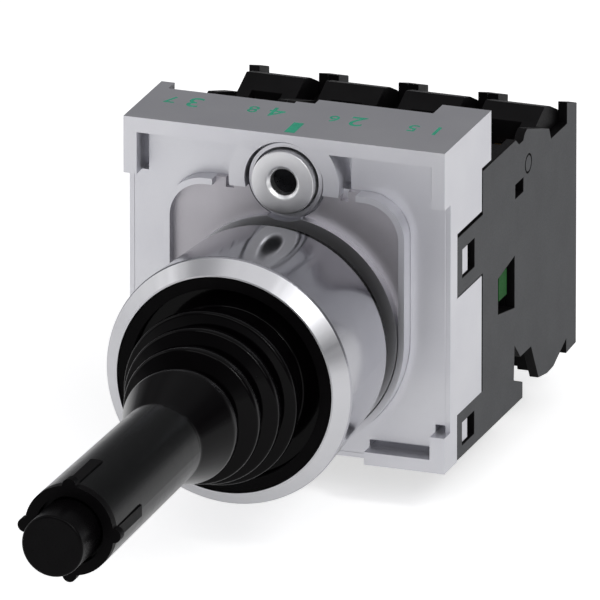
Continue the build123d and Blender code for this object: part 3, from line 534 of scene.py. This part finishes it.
shift = np.array([WALL, 0.0])
flange = np.array([[HEAD_RADIUS, FLANGE_BACK], [HEAD_RADIUS, FLANGE_FRONT], [FLANGE_INNER, FLANGE_FRONT]])
lower_outside = np.vstack((flange, ridge_points[0, :2], split_point))
inner_flange = np.array([[FLANGE_INNER - WALL, FLANGE_BACK]])
lower_inside = np.vstack((inner_flange, lower_outside[3:] - shift))
neck_outside = np.array([[NECK_RADIUS, NECK_START], [NECK_RADIUS, NECK_END]])
neck_inside = np.array([[NECK_INNER, NECK_START], [NECK_INNER, NECK_END]])
upper_ridges = np.vstack((split_point, ridge_points[0, 2:], ridge_points[1:].reshape(-1, 2)))
upper_outside = np.vstack((upper_ridges, neck_outside))
upper_inside = np.vstack((upper_ridges - shift, neck_inside))
lower_wall = walled(lower_outside, lower_inside)
upper_wall = walled(upper_outside, upper_inside)
boot_lower = grid_piece("boot_lower_half", lower_wall, rubber, True)
boot_upper = grid_piece("boot_upper_half", upper_wall, rubber, True)
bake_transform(boot_lower)
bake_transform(boot_upper)
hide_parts("rubber_boot")
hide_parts("rubber_boot")
print("boot quads:", len(boot_lower.data.polygons) + len(boot_upper.data.polygons))

# %% [markdown]
# ## Relief of the casting
# The holder's front is cast in steps: a plate two millimetres behind the lips, deeper grooves beside
# the legs and round the clamp, and a floor inside the arch. Each step is an outline pushed along Y,
# which is a grid too: its rows run round the outline, and its two columns are the front and the back.
# Arcs are circles worked out between two angles, so that a corner stays round.

# %% Slabs
CORNER_POINTS, LONG_ARC_POINTS = 24, 60


def arc(x, z, radius, first, last, count=CORNER_POINTS):
    """Points (x + r sin a, z + r cos a) for angles in degrees from the first to the last."""
    angle = np.radians(np.linspace(first, last, count))
    return np.stack((x + radius * np.sin(angle), z + radius * np.cos(angle)), axis=1)


def slab(name, outline, front, back, material, body, edge_mm=0.0):
    """Solid with an outline of (x, z) points: each goes to (x, front, z) and (x, back, z)."""
    x, z = outline.T[:, :, None]
    depth = np.array([front, back])
    points = np.stack((x + 0 * depth, depth + 0 * x, z + 0 * depth), axis=-1) * MM
    piece = grid_piece(name, points, material, False)
    piece.data.shade_flat()
    if edge_mm:
        edge = piece.modifiers.new("tool radius", "BEVEL")
        edge.width = edge_mm * MM
        edge.segments = 2
        edge.angle_limit = SHARP
    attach(piece, body)
    return piece


# %% [markdown]
# The plate's outline goes up beside the legs and back down along the arch. The left half is the right
# one mirrored, apart from its upper edge, which also runs round the clamp's surround. The bezel hides
# where the halves end. The points where a line meets a circle come from the circle's equation.

# %% Sizes of the casting's front
HOLDER_BOTTOM, BAND_LOW, BOTTOM_LIP = -15.65, 22.27, 0.6
RIM_X, LEG_X, LEG_LOW, FOOT_LEG_X, FOOT_LEG_TOP = 19.35, 17.55, 17.1, 18.12, -10.35
LUG_X, LUG_TOP = 9.96, -13.2
PLATE_FRONT, PLATE_BACK = 2.1, 4.1
FLOOR_FRONT, FLOOR_BACK = 1.15, 2.0
ARCH_HALF, ARCH_TOP, ARCH_CORNER, ARCH_RIM, ARCH_GAP = 14.95, 17.6, 5.1, 0.75, 8.9
SEAT_RADIUS = 14.05
CLAMP_Z, SURROUND_RADIUS, SURROUND_LOW, RECESS_RADIUS = 18.3, 6.85, 17.1, 4.9
GROOVE_X, GROOVE_LOW, NOTCH_TOP = 7.6, 16.4, 17.8
NEAR_MIDDLE = 1.0
ARCH_ENDS_AT, SEAT_ENDS_AT = 176, 86
PLATE_EDGE = 0.08
corner_x, corner_z = ARCH_HALF - ARCH_CORNER, ARCH_TOP - ARCH_CORNER
print("plate stands in mm behind the lips:", PLATE_FRONT, "arch floor:", FLOOR_FRONT)

# %% Plate and arch floor
arch_side = np.vstack((
    arc(corner_x, corner_z, ARCH_CORNER, 0, 90),
    arc(0, 0, ARCH_HALF, 90, ARCH_ENDS_AT, LONG_ARC_POINTS),
))
bottom_and_side = np.array([
    (NEAR_MIDDLE, HOLDER_BOTTOM + BOTTOM_LIP), (LUG_X, HOLDER_BOTTOM + BOTTOM_LIP), (LUG_X, LUG_TOP),
    (FOOT_LEG_X, LUG_TOP), (FOOT_LEG_X, FOOT_LEG_TOP), (RIM_X, FOOT_LEG_TOP), (RIM_X, LEG_LOW),
    (LEG_X, LEG_LOW), (LEG_X, BAND_LOW),
])
band_angle = math.degrees(math.acos((BAND_LOW - CLAMP_Z) / SURROUND_RADIUS))
notch_angle = math.degrees(math.acos((NOTCH_TOP - CLAMP_Z) / SURROUND_RADIUS))
beside_clamp = arc(0, CLAMP_Z, SURROUND_RADIUS, band_angle, notch_angle)
right_edge = np.array([(GROOVE_X, BAND_LOW), (GROOVE_X, ARCH_TOP)])
left_edge = np.vstack((beside_clamp, [(GROOVE_X, NOTCH_TOP), (GROOVE_X, ARCH_TOP)]))
floor_corner = arc(corner_x, corner_z, ARCH_CORNER - ARCH_RIM, 90, 0)
meet_z = (SEAT_RADIUS ** 2 - RECESS_RADIUS ** 2 + CLAMP_Z ** 2) / (2 * CLAMP_Z)
recess_from = 180 - math.degrees(math.acos((CLAMP_Z - SURROUND_LOW) / RECESS_RADIUS))
recess_to = 180 - math.degrees(math.acos((CLAMP_Z - meet_z) / RECESS_RADIUS))
seat_from = math.degrees(math.acos(meet_z / SEAT_RADIUS))
under_surround = math.sqrt(SURROUND_RADIUS ** 2 - (CLAMP_Z - SURROUND_LOW) ** 2)
groove_corner = math.sqrt(SURROUND_RADIUS ** 2 - (CLAMP_Z - GROOVE_LOW) ** 2)
floor_side = np.vstack((
    [(ARCH_HALF - ARCH_RIM, NEAR_MIDDLE)], floor_corner,
    [(ARCH_GAP, ARCH_TOP - ARCH_RIM), (ARCH_GAP, ARCH_TOP), (GROOVE_X, ARCH_TOP), (GROOVE_X, GROOVE_LOW)],
    [(groove_corner, GROOVE_LOW), (under_surround, SURROUND_LOW)],
    arc(0, CLAMP_Z, RECESS_RADIUS, recess_from, recess_to),
    arc(0, 0, SEAT_RADIUS, seat_from, SEAT_ENDS_AT, LONG_ARC_POINTS),
))
for side, edge in (("right", right_edge), ("left", left_edge)):
    mirror = (1, 1) if side == "right" else (-1, 1)
    plate = np.vstack((bottom_and_side, edge, arch_side)) * mirror
    slab(f"plate_{side}", plate, PLATE_FRONT, PLATE_BACK, zinc, "base", PLATE_EDGE)
    arch = floor_side * mirror
    # The arch floor takes the darker zinc, painted shade for the recess.
    slab(f"arch_floor_{side}", arch, FLOOR_FRONT, FLOOR_BACK, shaded_arch_zinc, "base")
print("points in the plate's outline:", len(plate), "in the arch floor's:", len(arch))

# %% [markdown]
# ## Clamp
# The clamp's foot is a turned steel button that a screw pushes against the panel. Its face is flat and
# its rim rounded, and it stands in a thin sleeve, so a dark crescent is left beside it.

# %% Clamp foot and sleeve
def turned_at_clamp(name, profile, material):
    """Body turned about the clamp's axis from a closed profile of (r, y) points."""
    points = turned(profile) + np.array([0, 0, CLAMP_Z * MM])
    return grid_piece(name, points, material, True)


FOOT = np.array([(1.6, 2.1), (1.6, -0.1), (2.0, -0.5), (3.85, -0.5), (3.85, 2.1)])
FOOT_EDGE = 0.14
foot = turned_at_clamp("clamp_foot_button", eased(FOOT, FOOT_EDGE), foot_steel)
keep_faces_flat(foot)
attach(foot, "clamp_foot")
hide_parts("clamp_foot")
SLEEVE = np.array([(4.1, 2.1), (4.1, 0.7), (4.55, 0.7), (4.55, 2.1)])
sleeve = turned_at_clamp("clamp_sleeve", SLEEVE, zinc)
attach(sleeve, "base")
print("foot stands in mm proud:", -FOOT[:, 1].min())

# %% [markdown]
# ## Flags
# A window in each module shows a green flag on the plunger, so that the fitter sees its state.
# The flag is moulded on the plunger's side, reaches into the window and stays in it over the stroke.

# %% Window flags
FLAG_FRONT, FLAG_BACK = 20.42, 23.15
FLAG_LOW, FLAG_HIGH = -1.05, 2.2
FLAG_INSIDE, FLAG_OUTSIDE = 2.5, 4.5
FLAG = np.array([
    (FLAG_INSIDE, FLAG_LOW), (FLAG_OUTSIDE, FLAG_LOW), (FLAG_OUTSIDE, FLAG_HIGH), (FLAG_INSIDE, FLAG_HIGH),
])
for i, name in enumerate(family("plunger"), start=1):
    low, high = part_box(name)
    centre = (low[0] + high[0]) / 2 / MM
    flag, body = f"window_flag_{i}", f"channel_{i}"
    slab(flag, FLAG + (centre, 0), FLAG_FRONT, FLAG_BACK, green_plunger, body)
print("flag in mm, deep and tall:", round(FLAG_BACK - FLAG_FRONT, 2), FLAG_HIGH - FLAG_LOW)

# %% [markdown]
# ## Springs
# A compression spring is round wire on a helix whose end turns lie close together.
# The wire's circle rides along the helix, square to it. The return spring crosses both hinges,
# so it is two parts, as the boot is. The others only get shorter.

# %% Wire on a helix
STEPS_PER_TURN = 28
WIRE_SIDES = 14
CLOSED_TURNS = 0.5


def coil(name, radius, wire, start, end, turns, x=0.0):
    """Wire circle along a helix about Y: depth runs evenly with the angle apart from closed end turns."""
    t = np.linspace(0, 1, int(turns * STEPS_PER_TURN))
    angle = 2 * np.pi * turns * t
    closed = CLOSED_TURNS / turns
    rise = np.clip((t - closed) / (1 - 2 * closed), 0, 1)
    flat = 2 * wire / abs(end - start)
    depth = start + (end - start) * (flat / 2 + (1 - flat) * rise)
    end_turns = np.minimum(t, closed) + np.maximum(t - 1 + closed, 0) - closed
    depth += np.sign(end - start) * 2 * wire * end_turns
    line = np.stack((x + radius * np.sin(angle), depth, radius * np.cos(angle)), axis=-1)
    along = np.gradient(line, axis=0)
    along /= np.linalg.norm(along, axis=1, keepdims=True)
    outward = np.stack((np.sin(angle), 0 * angle, np.cos(angle)), axis=-1)
    sideways = np.cross(along, outward)
    section = np.linspace(0, 2 * np.pi, WIRE_SIDES, endpoint=False)[:, None, None]
    points = line[None] + wire * (np.cos(section) * outward[None] + np.sin(section) * sideways[None])
    return grid_piece(name, points * MM, spring_wire, False)


# %% Return spring
RETURN_RADIUS, RETURN_WIRE, RETURN_HALF_TURNS = 6.6, 0.4, 2
low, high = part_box("return_spring")
SEAT_Y, COLLAR_Y = high[1] / MM, low[1] / MM
MIDDLE_Y = (SEAT_Y + COLLAR_Y) / 2
size = (RETURN_RADIUS, RETURN_WIRE)
return_lower = coil("return_spring_lower", *size, SEAT_Y, MIDDLE_Y, RETURN_HALF_TURNS)
return_upper = coil("return_spring_upper", *size, MIDDLE_Y, COLLAR_Y, RETURN_HALF_TURNS)
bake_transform(return_lower)
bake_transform(return_upper)
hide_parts("return_spring")
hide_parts("return_spring")
print("return spring length in mm:", round(SEAT_Y - COLLAR_Y, 2))

# %% Springs that get shorter
TURNS = 5
RELEASE_RADIUS, PLUNGER_SPRING_RADIUS, THIN_WIRE = 2.4, 1.8, 0.3
low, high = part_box("release_spring")
release = coil("release_spring_coil", RELEASE_RADIUS, THIN_WIRE, high[1] / MM, low[1] / MM, TURNS)
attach(release, "lever")
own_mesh(release)
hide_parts("release_spring")
for i, name in enumerate(family("plunger_spring"), start=1):
    low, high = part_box(name)
    middle = (low[0] + high[0]) / 2 / MM
    ends = (high[1] / MM, low[1] / MM)
    spring = coil(name + "_coil", PLUNGER_SPRING_RADIUS, THIN_WIRE, *ends, TURNS, middle)
    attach(spring, "base")
    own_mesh(spring)
    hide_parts(name)

# %% [markdown]
# ## Position numbers
# The top of the holder carries printed green numbers, one pair over each module, and a bar that marks
# the middle. They face the fitter, who stands behind the panel. Blender's text makes the outlines,
# which become a mesh and then move to their place, two hundredths of a millimetre thick, as ink is.
# Screen ink dries to a dull skin, so its gloss is wide and weak.

# %% Printed ink
ink = grained("printed_green_ink", ("#27997A", "#2FA884"), 1.0, 0.2, (0.45, 0.6), 0.001, {"IOR": 1.5})
HOLDER_TOP = 24.13
INK_HEIGHT = 0.02
NUMBER_ROW = 7.4
CAP_SHARE = 0.73
NUMBERS = (
    ("7", -16.6, 2.2), ("3", -13.7, 3.2), ("8", -6.4, 2.1), ("4", -3.5, 3.1),
    ("6", 3.6, 2.1), ("2", 6.5, 3.2), ("5", 13.4, 2.2), ("1", 16.4, 2.9),
)
BAR_X, BAR_Y, BAR_WIDE, BAR_DEEP = 0.3, 2.75, 1.25, 3.5
SQUARE = np.array([(-0.5, -0.5), (0.5, -0.5), (0.5, 0.5), (-0.5, 0.5)])
shape = bmesh.new()
for digit, x, tall in NUMBERS:
    words = bpy.data.curves.new("number", "FONT")
    words.body = digit
    words.align_x = "CENTER"
    words.align_y = "CENTER"
    words.size = tall / CAP_SHARE
    writing = bpy.data.objects.new("number", words)
    bpy.context.scene.collection.objects.link(writing)
    bpy.context.view_layer.update()
    seen = writing.evaluated_get(bpy.context.evaluated_depsgraph_get())
    drawn = bpy.data.meshes.new_from_object(seen)
    spot = Matrix.Translation(Vector((x, NUMBER_ROW, HOLDER_TOP)) * MM)
    drawn.transform(spot @ Matrix.Rotation(math.pi, 4, "Z") @ Matrix.Scale(MM, 4))
    shape.from_mesh(drawn)
    bpy.data.objects.remove(writing)
flat_bar = SQUARE * (BAR_WIDE, BAR_DEEP) + (BAR_X, BAR_Y)
drawn = bpy.data.meshes.new("bar")
drawn.from_pydata((np.insert(flat_bar, 2, HOLDER_TOP, axis=1) * MM).tolist(), [], [range(4)])
shape.from_mesh(drawn)

# %% Ink with a thickness
bmesh.ops.recalc_face_normals(shape, faces=shape.faces)
bmesh.ops.reverse_faces(shape, faces=[face for face in shape.faces if face.normal.z < 0])
lifted = bmesh.ops.extrude_face_region(shape, geom=shape.faces[:], use_keep_orig=True)["geom"]
lifted = [part for part in lifted if isinstance(part, bmesh.types.BMVert)]
bmesh.ops.translate(shape, vec=(0, 0, INK_HEIGHT * MM), verts=lifted)
bmesh.ops.recalc_face_normals(shape, faces=shape.faces)
print_mesh = bpy.data.meshes.new("position_numbers")
shape.to_mesh(print_mesh)
shape.free()
print_mesh.materials.append(ink)
position_numbers = bpy.data.objects.new("position_numbers", print_mesh)
bpy.context.scene.collection.objects.link(position_numbers)
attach(position_numbers, "base")
print("printed faces:", len(print_mesh.polygons))

# %% [markdown]
# ## Floor and light
# The photograph is a cut-out on white. A wide pale floor fills the picture behind the object, because
# the camera looks down on it. It is chalk white paint with a little glow of its own, which only the
# camera sees in full and a mirror sees in part, so the picture is white and the shadow stays.

# %% Floor
FLOOR_HEIGHT = -21 * MM
FLOOR_WIDTH = 12.0
GLOW_SEEN, GLOW_MIRRORED = 0.62, 0.3
floor_mesh = bpy.data.meshes.new("floor")
floor_points = np.insert(SQUARE * FLOOR_WIDTH, 2, FLOOR_HEIGHT, axis=1)
floor_mesh.from_pydata(floor_points.tolist(), [], [range(4)])
floor = bpy.data.objects.new("floor", floor_mesh)
bpy.context.scene.collection.objects.link(floor)
floor_paint = bpy.data.materials.new("pale_studio_floor")
floor_paint.use_nodes = True
tree = floor_paint.node_tree
tree.nodes.clear()
chalk = add(tree, "ShaderNodeBsdfDiffuse", {"Color": linear("#E9E9E9")})
ray = add(tree, "ShaderNodeLightPath").outputs
mirrored = {0: ray["Is Glossy Ray"], 1: ray["Is Transmission Ray"]}
mirrored = add(tree, "ShaderNodeMath", mirrored, operation="MAXIMUM")
faint = {0: mirrored.outputs[0], 1: GLOW_MIRRORED}
faint = add(tree, "ShaderNodeMath", faint, operation="MULTIPLY")
bright = {0: ray["Is Camera Ray"], 1: GLOW_SEEN}
bright = add(tree, "ShaderNodeMath", bright, operation="MULTIPLY")
lift = add(tree, "ShaderNodeMath", {0: faint.outputs[0], 1: bright.outputs[0]}, operation="ADD")
glow = add(tree, "ShaderNodeEmission", {"Color": (1, 1, 1, 1), "Strength": lift.outputs[0]})
both = add(tree, "ShaderNodeAddShader", {0: chalk.outputs[0], 1: glow.outputs[0]})
add(tree, "ShaderNodeOutputMaterial", {"Surface": both.outputs[0]})
floor_mesh.materials.append(floor_paint)
print("floor lies in mm below the lever's axis:", -FLOOR_HEIGHT / MM)

# %% [markdown]
# ## World
# A product studio is bright low down and overhead and darker in between. That band of dark is what
# makes the holder's top grey while its front stays light, and it gives the chrome something to show.
# The camera itself sees white there, as in the cut-out photograph.

# %% World
world = bpy.data.worlds.new("studio")
bpy.context.scene.world = world
world.use_nodes = True
tree = world.node_tree
tree.nodes.clear()
sky = add(tree, "ShaderNodeTexCoord").outputs["Generated"]
height = add(tree, "ShaderNodeSeparateXYZ", {"Vector": sky}).outputs["Z"]
room = add(tree, "ShaderNodeValToRGB", {"Fac": height})
room.color_ramp.interpolation = "EASE"
BANDS = ((0.0, 0.62), (0.12, 0.28), (0.35, 0.15), (0.6, 0.24), (0.85, 0.5))
COOLNESS = 1.03
while len(room.color_ramp.elements) < len(BANDS):
    room.color_ramp.elements.new(0.5)
for stop, (position, level) in zip(room.color_ramp.elements, BANDS):
    stop.position = position
    stop.color = (level, level, level * COOLNESS, 1)
straight = add(tree, "ShaderNodeLightPath").outputs["Is Camera Ray"]
shown = {0: straight, 6: room.outputs["Color"], 7: (1, 1, 1, 1)}
shown = add(tree, "ShaderNodeMix", shown, data_type="RGBA")
wall = add(tree, "ShaderNodeBackground", {"Color": shown.outputs[2], "Strength": 1.0})
add(tree, "ShaderNodeOutputWorld", {"Surface": wall.outputs[0]})
print("light of the room, level to overhead:", [level for position, level in BANDS])

# %% [markdown]
# ## Softboxes
# Three large lamps light the object, and a narrow one draws the bright fan on the bevel. Each one's
# power is worked out from the brightness that its face should have, so a mirror shows it at that
# brightness whatever its size. Each line gives turn and tilt in degrees, then distance, width and
# height in metres, then that brightness.

# %% Softboxes
def softbox(name, turn, tilt, reach, width, height, radiance):
    """A lamp that faces the object: power is radiance times pi times its area."""
    lamp = bpy.data.lights.new(name, "AREA")
    lamp.shape = "RECTANGLE"
    lamp.size = width
    lamp.size_y = height
    lamp.energy = radiance * math.pi * width * height
    stand = bpy.data.objects.new(name, lamp)
    turn, tilt = math.radians(turn), math.radians(tilt)
    level = reach * math.cos(tilt)
    spot = Vector((math.sin(turn) * level, -math.cos(turn) * level, math.sin(tilt) * reach))
    stand.location = spot
    stand.rotation_euler = spot.to_track_quat("Z", "Y").to_euler()
    bpy.context.scene.collection.objects.link(stand)
    share = radiance * width * height / reach ** 2 / math.pi
    print(name, "radiance", radiance, "share of white light", round(share, 2))


softbox("right_box", 52, 42, 0.8, 0.5, 0.7, 1.4)
softbox("left_box", -75, 22, 0.8, 0.5, 0.6, 1.2)
softbox("front_box", -10, 50, 0.9, 0.5, 0.4, 1.4)
softbox("streak_box", 64, 44, 0.8, 0.045, 0.24, 30)
